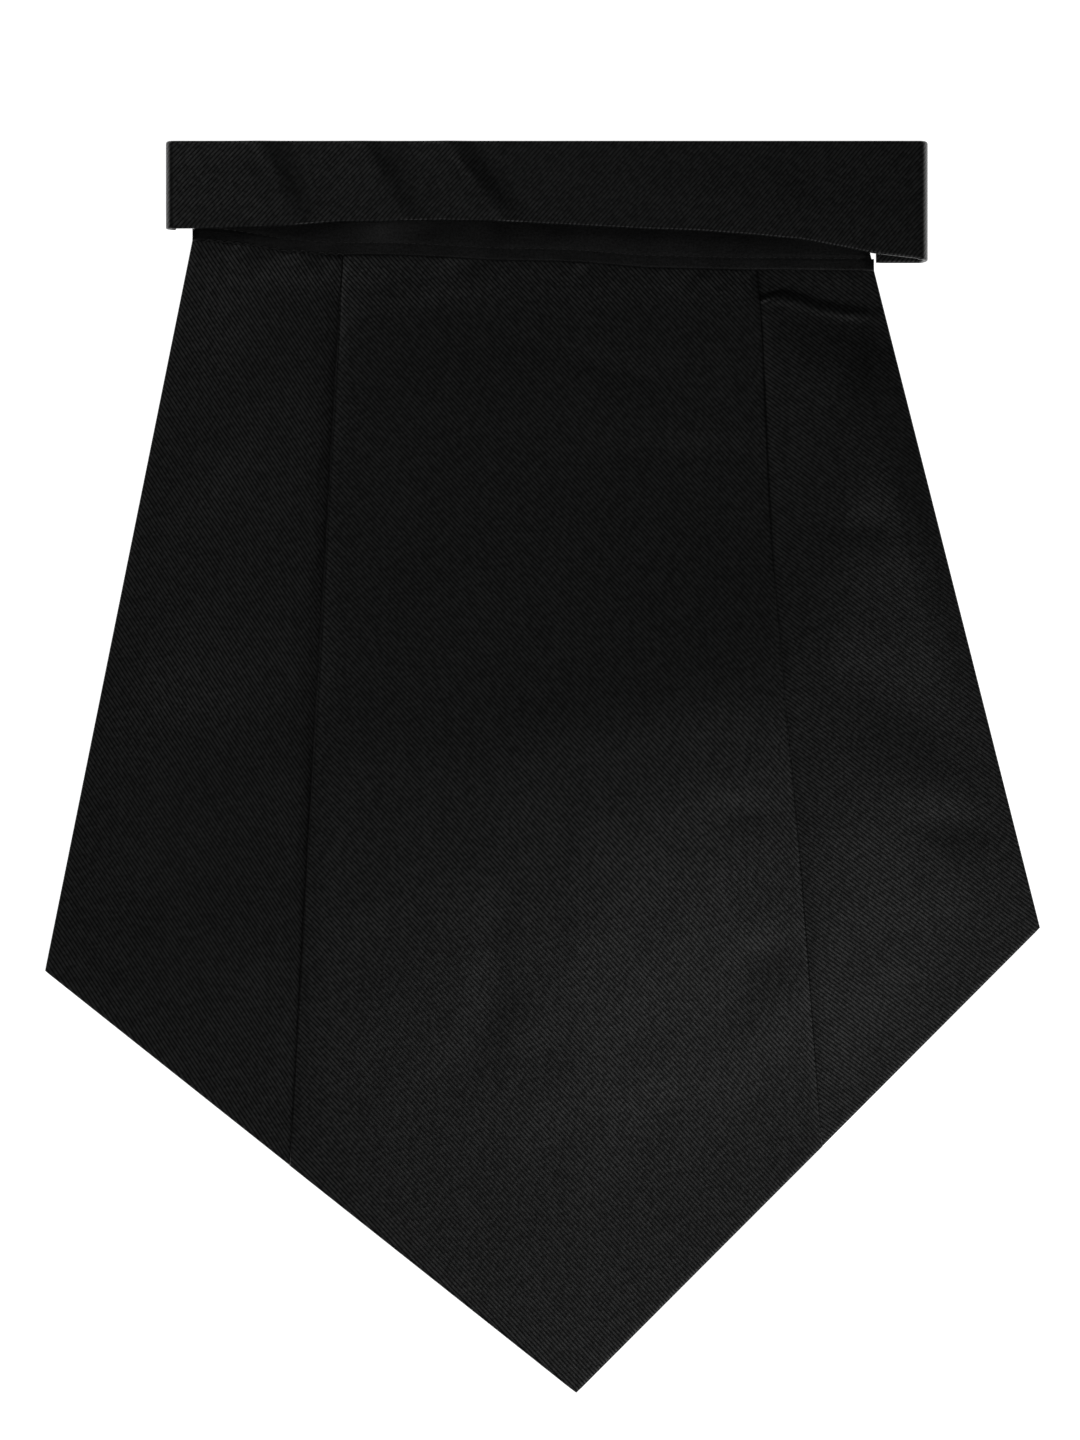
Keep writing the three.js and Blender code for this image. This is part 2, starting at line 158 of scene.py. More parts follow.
BAND_RISES = [
    (-43, 94, 11, 2.6, -66, 0.55),
    (-26, 94, 9, 2.2, -58, 0.45),
    (-11.5, 94, 10, 2.4, -55, 0.75),
    (24, 92, 20, 3, -8, 0.14),
]

# The broad wave across the blade: the slant of its crest, its height, where going down the blade it
# begins, is full and has sunk again, and over what width it dies out at the side edges
WAVE_SLANT = 0.19
WAVE_HEIGHT = 2.7
WAVE_RIGHT = 0.35  # share of its height that it loses towards the right pleat
WAVE_RIGHT_X = (5.0, 44.0)
WAVE_LEFT = 0.30  # and towards the left one
WAVE_LEFT_X = (0.0, -40.0)
WAVE_BEGINS = 42.0
WAVE_FULL = 3.0
WAVE_SINKS = (15.0, -78.0)
WAVE_EDGE = 36.0

# How high the whole blade stands off the lining, and over what widths it comes down at its sides
# and at the hem
PUFF = 0.55
PUFF_EDGE = 25.0
PUFF_HEM = 75.0
LAID_SOFT = 0.04  # how softly its dips pass into lying on the lining
LAID_CLEAR = 0.02  # what then stays between the two

# Over what widths the blade's relief dies out: beside a pleat, at its sides, at the hem, and at the
# seam, where it is flat up to the first distance and full from the second
RELIEF_PLEAT = 5.0
RELIEF_EDGE = 12.0
RELIEF_HEM = 26.0
RELIEF_TOP = (2.0, 9.0)

# The sharp wrinkle across the top of the right panel: the line that it follows, and the steps of its
# section, each with the distances above that line where it begins and where it is full
WRINKLE = np.array(
    [  # x, y
        (30, 75.0),
        (35.1, 74.9),
        (38.0, 75.7),
        (41.2, 75.0),
        (44.4, 73.9),
        (47.6, 73.3),
        (50.8, 73.0),
        (56.0, 72.7),
    ]
)
WRINKLE_STEPS = [
    # height, begins, full
    (0.95, 0.85, -0.75),
    (-0.28, 5.5, 0.9),
    (-0.14, -0.9, -2.1),
]
WRINKLE_X = (32.0, 36.5)  # where the steps set in beside the pleat
WRINKLE_END = 6.0  # and the width over which they die out at the side edge
SWELL_HEIGHT = 1.8  # of the broad swell below the wrinkle
SWELL_BELOW = (-2.2, -15.0)  # distances above the wrinkle's line between which it grows
SWELL_X = (33.5, 42.0)  # where it sets in beside the pleat
SWELL_LOW = 0.35  # share of its height that it has near the pleat
SWELL_GROWS = (38.0, 50.0)  # between which it grows from that share to its height
SWELL_ENDS = (-75.0, -15.0)  # distances between which both die out down the panel

# Small puffs below the seam, where it gathers the blade, and how far they lean to the left going down
PUCKERS = [
    # x, width, length, height
    (-46.5, 2.2, 3.0, 0.28),
    (-11.6, 3.0, 3.5, 0.22),
    (7.6, 1.5, 2.5, 0.22),
    (-38, 2.0, 3.0, 0.15),
    (24, 2.5, 3.0, 0.12),
]
PUCKER_LEAN = 0.5
PUCKER_EDGE = 3.0  # width over which they die out at the side edges

# Small irregular waves of each cloth: seed, height, wave length
BLADE_RIPPLE = (5, 0.12, 16)
FACING_RIPPLE = (12, 0.10, 4)
BAND_RIPPLE = (21, 0.12, 9)
RIPPLE_WAVES = 14
RIPPLE_SPREAD = (0.6, 2.0)  # of their lengths


def lerp(a, b, share):
    return a + (b - a) * share


def smooth(x, low, high):
    """From 0 at low to 1 at high, flat at both; low may be the greater one."""
    t = np.clip((np.asarray(x, float) - low) / (high - low), 0, 1)
    return t * t * (3 - 2 * t)


def top_line(x, column):
    return np.interp(x, TOP_LINES[:, 0], TOP_LINES[:, column])


def facing_edge(x):
    return top_line(x, 1)


def seam_line(x):
    return top_line(x, 2)


def strap_edge(x):
    return top_line(x, 3)


def blade_top(x):
    return lerp(facing_edge(x), seam_line(x), TUCK_SHARE)


def edge_x(corner, top, y):
    """Where a side edge of the blade crosses the height y."""
    return lerp(corner[0], top[0], (y - corner[1]) / (top[1] - corner[1]))


def rises(table, x, y):
    """The height of all rises and dents of a table together."""
    height = np.zeros(np.shape(x))
    for middle_x, middle_y, along, across, angle, rise in table:
        c, s = math.cos(math.radians(angle)), math.sin(math.radians(angle))
        a = ((x - middle_x) * c + (y - middle_y) * s) / along
        b = ((y - middle_y) * c - (x - middle_x) * s) / across
        height = height + rise * np.exp(-a * a - b * b)
    return height


def ripple(x, y, seed, height, wave):
    """Small irregular waves of a cloth that has been handled."""
    draw = np.random.default_rng(seed)
    total = np.zeros(np.shape(x))
    for _ in range(RIPPLE_WAVES):
        angle, phase = draw.uniform(0, 2 * math.pi, 2)
        length = wave * draw.uniform(*RIPPLE_SPREAD)
        total += np.sin((x * math.cos(angle) + y * math.sin(angle)) * 2 * math.pi / length + phase)
    return height * total / RIPPLE_WAVES


class Sheet:
    """The middle of a cloth: its points, where each lies on the flat cloth, and four-sided faces."""

    def __init__(self):
        self.points = []
        self.flat = []
        self.faces = []

    def row(self, points, flat):
        start = len(self.points)
        self.points.extend(map(tuple, points))
        self.flat.extend(map(tuple, flat))
        return list(range(start, len(self.points)))

    def join(self, rows):
        for low, high in zip(rows[:-1], rows[1:]):
            for i in range(len(low) - 1):
                self.faces.append((low[i], low[i + 1], high[i + 1], high[i]))


def finished(name, mesh, flat, material):
    """The object of a mesh, smooth, with its material and its flat places as the UV map."""
    layer = mesh.uv_layers.new(name="cloth")
    index = np.zeros(len(mesh.loops), np.int32)
    mesh.loops.foreach_get("vertex_index", index)
    layer.data.foreach_set("uv", flat[index].astype(np.float32).ravel())
    mesh.polygons.foreach_set("use_smooth", np.ones(len(mesh.polygons), bool))
    mesh.materials.append(material)
    mesh.update()
    piece = bpy.data.objects.new(name, mesh)
    bpy.context.scene.collection.objects.link(piece)
    return piece


def cloth_object(name, sheet, wall, material):
    """One closed body: the sheet with the thickness of its cloth, and its flat places as a UV map."""
    points, faces = np.array(sheet.points), np.array(sheet.faces)
    a, b, c, d = (points[faces[:, i]] for i in range(4))
    normal = np.cross(c - a, d - b)
    normal /= np.linalg.norm(normal, axis=1)[:, None]
    normals = np.zeros_like(points)
    for i in range(4):
        np.add.at(normals, faces[:, i], normal)
    normals /= np.linalg.norm(normals, axis=1)[:, None]
    count = len(points)
    both = np.concatenate([points + normals * wall / 2, points - normals * wall / 2])
    edges = {(f[i], f[(i + 1) % 4]) for f in sheet.faces for i in range(4)}
    rim = [(q, p, p + count, q + count) for p, q in sorted(edges) if (q, p) not in edges]
    quads = np.concatenate([faces, faces[:, ::-1] + count, np.array(rim)])
    mesh = bpy.data.meshes.new(name)
    mesh.from_pydata((both * MM).tolist(), [], quads.tolist())
    return finished(name, mesh, np.concatenate([np.array(sheet.flat)] * 2), material)


def turned(x, y, degrees):
    """The place on the flat cloth, turned to the direction of its grain."""
    c, s = math.cos(math.radians(degrees)), math.sin(math.radians(degrees))
    return x * c - y * s, x * s + y * c


# Blade

LEFT_GRAIN = 9.5  # degrees that brings each panel's twill to the centre panel's direction
RIGHT_GRAIN = -10.0
SIDE_COLUMNS = 46
HALF_COLUMNS = 42
HEM_ROWS = 16
MIDDLE_ROWS = 90
TOP_ROWS = 52
TOP_LENGTH = 18.0  # length below the top that has the closest rows
TOP_CURVE = 8  # how late the rows take up the curve of the top edge
HEM_STEPS = 6


def ways_in(outline):
    """For each corner of the outline, the way in that keeps one distance from both of its edges."""
    outline = np.array(outline)
    along = np.diff(outline, axis=0)
    along /= np.linalg.norm(along, axis=1)[:, None]
    normals = np.stack([-along[:, 1], along[:, 0]], axis=1)
    ways = [np.array([1 / normals[0][0], 0])]
    for a, b in zip(normals[:-1], normals[1:]):
        ways.append((a + b) / (1 + a @ b))
    ways.append(np.array([1 / normals[-1][0], 0]))
    return ways


def blade_outline():
    """The outline's corners, from the top of the left edge round the tip to the top of the right."""
    left_y, right_y = blade_top(LEFT_TOP[0]), blade_top(RIGHT_TOP[0])
    return [
        (edge_x(LEFT_CORNER, LEFT_TOP, left_y), left_y),
        LEFT_CORNER,
        TIP,
        RIGHT_CORNER,
        (edge_x(RIGHT_CORNER, RIGHT_TOP, right_y), right_y),
    ]


def inset(outline, distance):
    """The outline's corners, moved in by one distance from every edge."""
    return [np.array(p) + w * distance for p, w in zip(outline, ways_in(outline))]


def pleat_line(pleat, share):
    """The x of a pleat's edge at this share of the way from the hem to the top."""
    straight = lerp(pleat["hem"], pleat["top"], share)
    return straight - pleat["bow"] * math.exp(-(((share - BOW_MIDDLE) / BOW_LENGTH) ** 2))


def pleat_fold(pleat, share):
    """Out, up and length along the cloth of a pleat's steps, from the centre panel to the side panel."""
    from_hem, from_top = share * PLEAT_LENGTH, (1 - share) * PLEAT_LENGTH
    full = smooth(from_top, SEAM_FLAT, pleat["pressed"]) * smooth(from_hem, 0, PLEAT_RISES)
    radius = lerp(PRESSED_RADIUS, pleat["radius"], full)
    turn = lerp(HEM_TURN, math.pi, smooth(from_hem, 0, PLEAT_OPENS))
    depth = max(LEAST_DEPTH, PLEAT_DEPTH * share)
    step = radius * turn / FOLD_STEPS
    bend = [(step, -turn / FOLD_STEPS)] * FOLD_STEPS
    unbend = [(step, turn / FOLD_STEPS)] * FOLD_STEPS
    path, heading = [(0.0, 0.0, 0.0)], 0.0
    for length, change in bend + [(depth / DEPTH_STEPS, 0.0)] * DEPTH_STEPS + unbend:
        out, up, gone = path[-1]
        heading += change / 2
        path.append((out + length * math.cos(heading), up + length * math.sin(heading), gone + length))
        heading += change / 2
    out, up, gone = np.array(path).T
    lift = 4 * radius * (up - up[-1]) / (up[0] - up[-1])
    return out - radius - TWILL_WALL / 2, lift, gone


def past_hem(x, share):
    """The way up from the hem, with the corner of each row above the tip rounded off."""
    aside = np.abs(x - TIP[0])
    slopes = [(corner[1] - TIP[1]) / abs(corner[0] - TIP[0]) for corner in (LEFT_CORNER, RIGHT_CORNER)]
    rounded = np.hypot(aside, TIP_ROUND) - aside - TIP_ROUND
    off = np.where(x < TIP[0], *slopes) * rounded + np.mean(slopes) * TIP_ROUND
    return share * PLEAT_LENGTH - off * (1 - share) * PLEAT_LENGTH / (blade_top(TIP[0]) - TIP[1])


def blade_row(share, line):
    """Across one row: x, height, x on the flat cloth, panel (-1, 0 or 1) and share of being on top."""
    ends = {}
    for pleat in (LEFT_PLEAT, RIGHT_PLEAT):
        out, up, gone = pleat_fold(pleat, share)
        x = pleat_line(pleat, share) + pleat["side"] * out
        rolled = np.arange(len(x)) <= FOLD_STEPS
        flat_x = np.where(rolled, x[0] + pleat["side"] * gone, x)
        panel = np.where(rolled, 0, pleat["side"])
        on_top = np.linspace(1, 0, len(x))
        ends[pleat["side"]] = (x, up, flat_x, panel, on_top)
    falling = ends[-1][1]
    falling[: FOLD_STEPS + 1] -= SHOULDER * falling[0] * np.linspace(1, 0, FOLD_STEPS + 1)
    left, right = [a[::-1] for a in ends[-1]], list(ends[1])
    x_from, x_to = left[0][-1], right[0][0]
    lift_left, lift_right = left[1][-1] / (1 - SHOULDER), right[1][0]

    def centre(x):
        part = (x - x_from) / (x_to - x_from)
        sag = lerp(HEM_SAG, CENTRE_SAG, smooth(past_hem(x, share), 0, SAG_LENGTH))
        lift = lerp(lift_left, lift_right, part)
        near = np.exp((x_from - x) / SHOULDER_WIDTH)
        return lift * (1 - sag * np.sin(np.pi * part) - SHOULDER * near)

    def even(a, b, count):
        return lerp(a, b, np.arange(1, count) / count)

    first = np.array([line[0][0], *even(line[0][0], left[0][0], SIDE_COLUMNS)])
    tip_x = line[2][0]
    middle = np.array([*even(x_from, tip_x, HALF_COLUMNS), tip_x, *even(tip_x, x_to, HALF_COLUMNS)])
    last = np.array([*even(right[0][-1], line[4][0], SIDE_COLUMNS), line[4][0]])
    from_line = np.maximum(last - pleat_line(RIGHT_PLEAT, share), 0)
    dip = RIGHT_DIP * smooth(share * PLEAT_LENGTH, 0, DIP_HEM) * (np.exp(-from_line / DIP_WIDTH) - 1)
    dip -= dip[-1] * np.linspace(0, 1, len(last))
    columns = [
        (first, 0.0, first, -1.0, 0.0),
        left,
        (middle, centre(middle), middle, 0.0, 1.0),
        right,
        (last, -dip, last, 1.0, 0.0),
    ]
    return np.concatenate([np.stack(np.broadcast_arrays(*c)) for c in columns], axis=1)


def seam_wave(x, y):
    """The sharp wrinkle across the top of the right panel, and the swell below it."""
    up = y - np.interp(x, WRINKLE[:, 0], WRINKLE[:, 1])
    step = sum(height * smooth(up, begins, full) for height, begins, full in WRINKLE_STEPS)
    grown = lerp(SWELL_LOW, 1.0, smooth(x, *SWELL_GROWS))
    swell = SWELL_HEIGHT * smooth(up, *SWELL_BELOW) * grown * smooth(x, *SWELL_X)
    return (step * smooth(x, *WRINKLE_X) + swell) * smooth(up, *SWELL_ENDS)


def puckers(x, y):
    below = facing_edge(x) - y
    total = np.zeros(np.shape(x))
    for place, width, length, height in PUCKERS:
        beside = (x - place + below * PUCKER_LEAN) / width
        total += height * np.exp(-(beside**2) - (below / length) ** 2)
    return total


def blade_wave(x, y):
    """The broad wave that crosses all panels."""
    place = y - WAVE_SLANT * x
    height = WAVE_HEIGHT * (1 - WAVE_RIGHT * smooth(x, *WAVE_RIGHT_X) - WAVE_LEFT * smooth(x, *WAVE_LEFT_X))
    return height * smooth(place, WAVE_BEGINS, WAVE_FULL) * (1 - smooth(place, *WAVE_SINKS))


def laid(height):
    """The relief with its dips filled where the cloth comes to lie on the lining."""
    low = SATIN_WALL + LAID_CLEAR - (FRONT - TWILL_WALL / 2)
    return low + LAID_SOFT * np.logaddexp(0, (height - low) / LAID_SOFT)


def blade_relief(x, y, on_top, line, share):
    """How far the cloth stands off its folded form; on_top runs from 0 at a side panel to 1."""
    beside = (1 - on_top) * smooth(np.maximum(line[1][0] - x, x - line[3][0]), 0, RELIEF_PLEAT)
    on_sides = np.where(x < TIP[0], rises(LEFT_RISES, x, y), rises(RIGHT_RISES, x, y)) * beside
    on_centre = rises(CENTRE_RISES, x, y) * on_top
    from_edge = np.minimum(x - line[0][0], line[4][0] - x)
    broad = blade_wave(x, y) * smooth(from_edge, 0, WAVE_EDGE)
    soft = broad + on_sides + on_centre + ripple(x, y, *BLADE_RIPPLE) * np.maximum(on_top, beside)
    from_hem = past_hem(x, share)
    at_edge = smooth(from_edge, 0, RELIEF_EDGE) * smooth(from_hem, 0, RELIEF_HEM)
    at_top = smooth((1 - share) * PLEAT_LENGTH, *RELIEF_TOP)
    puff = PUFF * smooth(from_edge, 0, PUFF_EDGE) * smooth(from_hem, 0, PUFF_HEM) * at_top
    wave = seam_wave(x, y) * (1 - on_top) * smooth(from_edge, -1.0, WRINKLE_END)
    return laid(soft * at_edge * at_top + puff + wave + puckers(x, y) * smooth(from_edge, 0, PUCKER_EDGE))


def blade_shares():
    """The rows of the blade as shares of the way from the hem to the top, closer at both ends."""
    near_hem = np.linspace(0, PLEAT_OPENS, HEM_ROWS)[:-1]
    middle = np.linspace(PLEAT_OPENS, PLEAT_LENGTH - TOP_LENGTH, MIDDLE_ROWS)[:-1]
    top = np.linspace(PLEAT_LENGTH - TOP_LENGTH, PLEAT_LENGTH, TOP_ROWS)
    return np.concatenate([near_hem, middle, top]) / PLEAT_LENGTH


def add_hem(sheet, rim, ways, turns):
    """Turns the cloth under along the rim, then back in for the hem's width."""
    angles = np.pi * np.arange(1, FOLD_STEPS + 1) / FOLD_STEPS
    section = [
        (-HEM_RADIUS * math.sin(a), HEM_RADIUS * (1 - math.cos(a)), HEM_RADIUS * a) for a in angles
    ]
    roll = HEM_RADIUS * math.pi
    section += [(w, 2 * HEM_RADIUS, roll + w) for w in np.linspace(0, HEM_WIDTH, HEM_STEPS)[1:]]
    edge = np.array([sheet.points[i] for i in rim])
    before = rim
    for inward, down, gone in section:
        place = edge[:, :2] + ways * inward
        spread = edge[:, :2] - ways * gone
        flat = [turned(x, y, t) for (x, y), t in zip(spread, turns)]
        now = sheet.row(np.column_stack([place, edge[:, 2] - down]), flat)
        for i in range(len(rim) - 1):
            sheet.faces.append((before[i], now[i], now[i + 1], before[i + 1]))
        before = now


def blade_columns():
    """The low and high ends of the lines up the blade: its sides, its pleats and the one at the tip."""
    left_top, left_corner, tip, right_corner, right_top = inset(blade_outline(), HEM_ROLL)
    hem_x, hem_y = np.array([left_corner, tip, right_corner]).T

    def at_top(x):
        return np.array([x, blade_top(x)])

    def along(pleat):
        return np.array([pleat["hem"], np.interp(pleat["hem"], hem_x, hem_y)]), at_top(pleat["top"])

    return [
        (left_corner, left_top),
        along(LEFT_PLEAT),
        (tip, at_top(TIP[0])),
        along(RIGHT_PLEAT),
        (right_corner, right_top),
    ]


def blade_rows(sheet, columns, shares):
    """Adds the folded blade row by row, from the hem to the top."""
    turn_of = {-1: LEFT_GRAIN, 0: 0.0, 1: RIGHT_GRAIN}
    top_x, top_y = np.array([high for _, high in columns]).T
    rows = []
    for share in shares:
        line = [lerp(low, high, share) for low, high in columns]
        x, up, flat_x, panel, on_top = blade_row(share, line)
        line_x, line_y = np.array(line).T
        curve = blade_top(x) - np.interp(x, top_x, top_y)
        y = np.interp(x, line_x, line_y) + curve * share**TOP_CURVE
        z = FRONT + up + blade_relief(x, y, on_top, line, share)
        flat = [turned(a, b, turn_of[int(p)]) for a, b, p in zip(flat_x, y, panel)]
        rows.append(sheet.row(np.column_stack([x, y, z]), flat))
    sheet.join(rows)
    return rows


def blade_rim(sheet, rows, columns, shares):
    """The rim that the hem turns round: its points, each one's way in, and its panel's grain."""
    ways = ways_in(blade_outline())
    left_x, tip_x, right_x = (columns[k][0][0] for k in (0, 2, 4))
    rim = []
    for r in range(len(rows) - 1, 0, -1):
        rim.append((rows[r][0], lerp(ways[1], ways[0], shares[r]), LEFT_GRAIN))
    for i in rows[0]:
        x = sheet.points[i][0]
        if x < tip_x:
            way = lerp(ways[1], ways[2], (x - left_x) / (tip_x - left_x))
        else:
            way = lerp(ways[2], ways[3], (x - tip_x) / (right_x - tip_x))
        grain = LEFT_GRAIN if x < LEFT_PLEAT["hem"] else RIGHT_GRAIN if x > RIGHT_PLEAT["hem"] else 0.0
        rim.append((i, way, grain))
    for r in range(1, len(rows)):
        rim.append((rows[r][-1], lerp(ways[3], ways[4], shares[r]), RIGHT_GRAIN))
    points, inwards, grains = zip(*rim)
    return points, np.array(inwards), grains


def blade(material):
    sheet, columns, shares = Sheet(), blade_columns(), blade_shares()
    rows = blade_rows(sheet, columns, shares)
    add_hem(sheet, *blade_rim(sheet, rows, columns, shares))
    return cloth_object("blade_cloth", sheet, TWILL_WALL, material)


# Lining and its facing strip

SATIN_BOTTOM = SATIN_WALL / 2
STITCH_LINE = 2.0  # the topstitching's distance above the facing's lower edge
STITCH_PITCH = 1.2
FACING_TURN = 0.17  # radius of the facing's turned lower edge
FACING_TURN_WIDTH = 1.6
FACING_TURN_STEPS = 5
FACING_CLEAR = 0.06  # between the facing and the blade
STACK_SLOPE = 9.0  # length over which the facing comes down beside the left pleat
RIGHT_SLOPE = 17.0  # the same at the right pleat
STACK_FULL = 0.5  # how far inside the pleats' edges it has its full height
FACING_ROLL = FACING_TURN + SATIN_WALL / 2
STITCH_DEPTH = 0.08  # how deep the topstitching draws the facing in
STITCH_NIP = 0.2  # share by which that depth varies along each stitch
FACING_FLAT = 1.2  # length above its lower edge over which its relief sets in
STITCH_GROOVE = 0.26  # half the width of its groove
HEM_CLEAR = 0.15  # between the lining's edge and the hem
LINING_LEFT = np.linspace(0, 1, 100)  # shares across the lining, left and right of the tip
LINING_RIGHT = np.linspace(0, 1, 90)[1:]
LINING_ROWS = 12
BEFORE_FOLD = 2.0  # how far before the fold the lining has its full width
FACING_ROWS = 34
PAST_TOP = (0.6, 1.1)  # how far past the blade's top edge the lining widens to its full width
TURNED_FLAT = 6.0  # what the turn over to the front adds to the lining's flat length
FACING_RISES = [
    # x, y, along, across, angle, height
    (-27, 87.2, 6, 3.2, 0, 0.95),
    (-50, 85.6, 7, 1.5, 6, -0.06),
    (8, 84.0, 24, 1.8, -3, 0.16),
    (-12, 85.2, 12, 1.4, -2, -0.12),
]


def pleat_stack(x):
    """How high the pleats raise what lies on them at the seam."""
    past = np.maximum(LEFT_PLEAT["top"] - x, (x - RIGHT_PLEAT["top"]) * STACK_SLOPE / RIGHT_SLOPE)
    share = np.clip((x - LEFT_PLEAT["top"]) / (RIGHT_PLEAT["top"] - LEFT_PLEAT["top"]), 0, 1)
    lift = 4 * PRESSED_RADIUS * (1 - CENTRE_SAG * np.sin(np.pi * share))
    return lift * smooth(-past, -STACK_SLOPE, STACK_FULL)


def facing_base(x):
    """The height of the facing's middle before its own relief."""
    return FRONT + (TWILL_WALL + SATIN_WALL) / 2 + 2 * FACING_TURN + FACING_CLEAR + pleat_stack(x)


def facing_height(x, y):
    """The height of the facing's middle where it lies on the blade."""
    above = y - facing_edge(x)
    nips = 1 - STITCH_NIP + STITCH_NIP * np.cos(2 * np.pi * x / STITCH_PITCH)
    stitched = STITCH_DEPTH * nips * np.exp(-(((above - STITCH_LINE) / STITCH_GROOVE) ** 2))
    soft = rises(FACING_RISES, x, y) + ripple(x, y, *FACING_RIPPLE)
    return facing_base(x) - stitched + soft * smooth(above, 0.0, FACING_FLAT)


def across(left, middle, right):
    """The places of one row, on straight lines from left to middle to right."""
    left, middle, right = map(np.array, (left, middle, right))
    one = left + (middle - left) * LINING_LEFT[:, None]
    two = middle + (right - middle) * LINING_RIGHT[:, None]
    return np.concatenate([one, two])


def full_row(y):
    """One row at the height y, from one side edge of the outline to the other."""
    return across(
        (edge_x(LEFT_CORNER, LEFT_TOP, y), y), (TIP[0], y), (edge_x(RIGHT_CORNER, RIGHT_TOP, y), y)
    )


def satin_row(sheet, place, height, back):
    points = np.column_stack([place, np.broadcast_to(height, len(place))])
    flat = points[:, :2].copy()
    if not back:
        flat[:, 1] = 2 * LINING_FOLD_Y + TURNED_FLAT - flat[:, 1]
    return sheet.row(points, flat)


def lining_back(sheet):
    """The rows that lie under the blade, from the tip to where the lining turns over."""
    corners = inset(blade_outline(), HEM_ROLL + HEM_WIDTH + HEM_CLEAR)
    left_top, left_corner, tip, right_corner, right_top = corners
    tip_top = np.array([TIP[0], blade_top(TIP[0])])
    rows = []
    for share in np.linspace(0, 1, LINING_ROWS):
        left, right = lerp(left_corner, left_top, share), lerp(right_corner, right_top, share)
        rows.append(satin_row(sheet, across(left, lerp(tip, tip_top, share), right), SATIN_BOTTOM, True))
    narrow = across((left_top[0], 0), (TIP[0], 0), (right_top[0], 0))
    for place, past in zip((narrow, full_row(LINING_FOLD_Y - BEFORE_FOLD)), PAST_TOP):
        place[:, 1] = blade_top(place[:, 0]) + past
        rows.append(satin_row(sheet, place, SATIN_BOTTOM, True))
    rows.append(satin_row(sheet, full_row(LINING_FOLD_Y), SATIN_BOTTOM, True))
    return rows


def lining_turn(sheet):
    """The half turn that brings the lining over the blade's top edge to the front."""
    over = full_row(LINING_FOLD_Y)
    radius = (facing_height(over[:, 0], over[:, 1]) - SATIN_BOTTOM) / 2
    rows = []
    for i in range(1, FOLD_STEPS + 1):
        angle = math.pi * i / FOLD_STEPS
        place = over.copy()
        place[:, 1] = LINING_FOLD_Y + radius * math.sin(angle)
        height = SATIN_BOTTOM + radius * (1 - math.cos(angle))
        rows.append(satin_row(sheet, place, height, i < FOLD_STEPS / 2))
    return rows


def facing(sheet):
    """The strip that shows on the front, down to its lower edge."""
    rows = []
    for share in np.linspace(0, 1, FACING_ROWS)[1:]:
        place = full_row(LINING_FOLD_Y)
        lower = facing_edge(place[:, 0]) + FACING_ROLL
        place[:, 1] = lerp(LINING_FOLD_Y, lower, share)
        for k, (corner, top) in ((0, (LEFT_CORNER, LEFT_TOP)), (-1, (RIGHT_CORNER, RIGHT_TOP))):
            place[k, 0] = edge_x(corner, top, place[k, 1])
        rows.append(satin_row(sheet, place, facing_height(place[:, 0], place[:, 1]), False))
    return rows


def facing_turned(sheet, rim):
    """The facing's lower edge, turned under."""
    edge = np.array([sheet.points[i] for i in rim])
    angles = [math.pi * i / FACING_TURN_STEPS for i in range(1, FACING_TURN_STEPS + 1)]
    section = [(-FACING_TURN * math.sin(a), FACING_TURN * (1 - math.cos(a))) for a in angles]
    section += [(FACING_TURN_WIDTH, 2 * FACING_TURN)]
    return [
        satin_row(sheet, edge[:, :2] + [0, inward], edge[:, 2] - down, False) for inward, down in section
    ]


def lining(material):
    sheet = Sheet()
    rows = lining_back(sheet) + lining_turn(sheet) + facing(sheet)
    rows += facing_turned(sheet, rows[-1])
    sheet.join(rows)
    return cloth_object("lining_cloth", sheet, SATIN_WALL, material)


# Neckband

BAND_GRAIN = 86.0
EDGE_STEPS = 5
TAIL_STATIONS = 50
FRONT_STATIONS = 240
BEHIND_STATIONS = 8
BACK_POINTS = 5
FRONT_POINTS = 17
CREASED_FROM = 3.0  # length beside each turn over which the front's creases set in
BACK_CREASED = 0.4  # share of their height that the strap's back layer follows


def band_turn(end, side, low, high, lower_from, lower_to):
    """The stations of a half turn between the heights low and high."""
    x = end - side * (TURN_REACH + BAND_WALL / 2)
    out = []
    for i in range(TURN_STEPS + 1):
        angle = math.pi * i / TURN_STEPS
        share = (1 - math.cos(angle)) / 2
        height, lower = lerp(low, high, share), lerp(lower_from, lower_to, share)
        out.append((x + side * TURN_REACH * math.sin(angle), height, lower, 0.0))
    return out


def band_path():
    """The strap's stations: x, height, lower edge, and how much of the front's creases it shows."""
    left_lower, right_lower = strap_edge(BAND_LEFT), strap_edge(BAND_RIGHT)
    behind = LOWER_TAIL["height"]

    def tail(a, b, height):
        return [(lerp(a, b, s), height, TAIL_LOWER, 0.0) for s in np.linspace(0, 1, TAIL_STATIONS)]

    left = band_turn(BAND_LEFT, -1, UPPER_TAIL["height"], BAND_HEIGHT, left_lower, left_lower)
    right = band_turn(BAND_RIGHT, 1, BAND_HEIGHT, behind, right_lower, BAND_BEHIND)
    start, end = left[-1][0], right[0][0]
    front = [
        (x, BAND_HEIGHT, strap_edge(x), smooth(min(x - start, end - x), 0, CREASED_FROM))
        for x in np.linspace(start, end, FRONT_STATIONS)[1:-1]
    ]
    past_turn = np.linspace(right[-1][0], BEHIND_ENDS, BEHIND_STATIONS)[1:]
    right += [(x, behind, BAND_BEHIND, 0.0) for x in past_turn]
    upper = tail(UPPER_TAIL["end"], UPPER_TAIL["clear"], UPPER_TAIL["height"])
    lower = tail(LOWER_TAIL["clear"], LOWER_TAIL["end"], behind)
    return np.array(upper + left + front + right + lower)


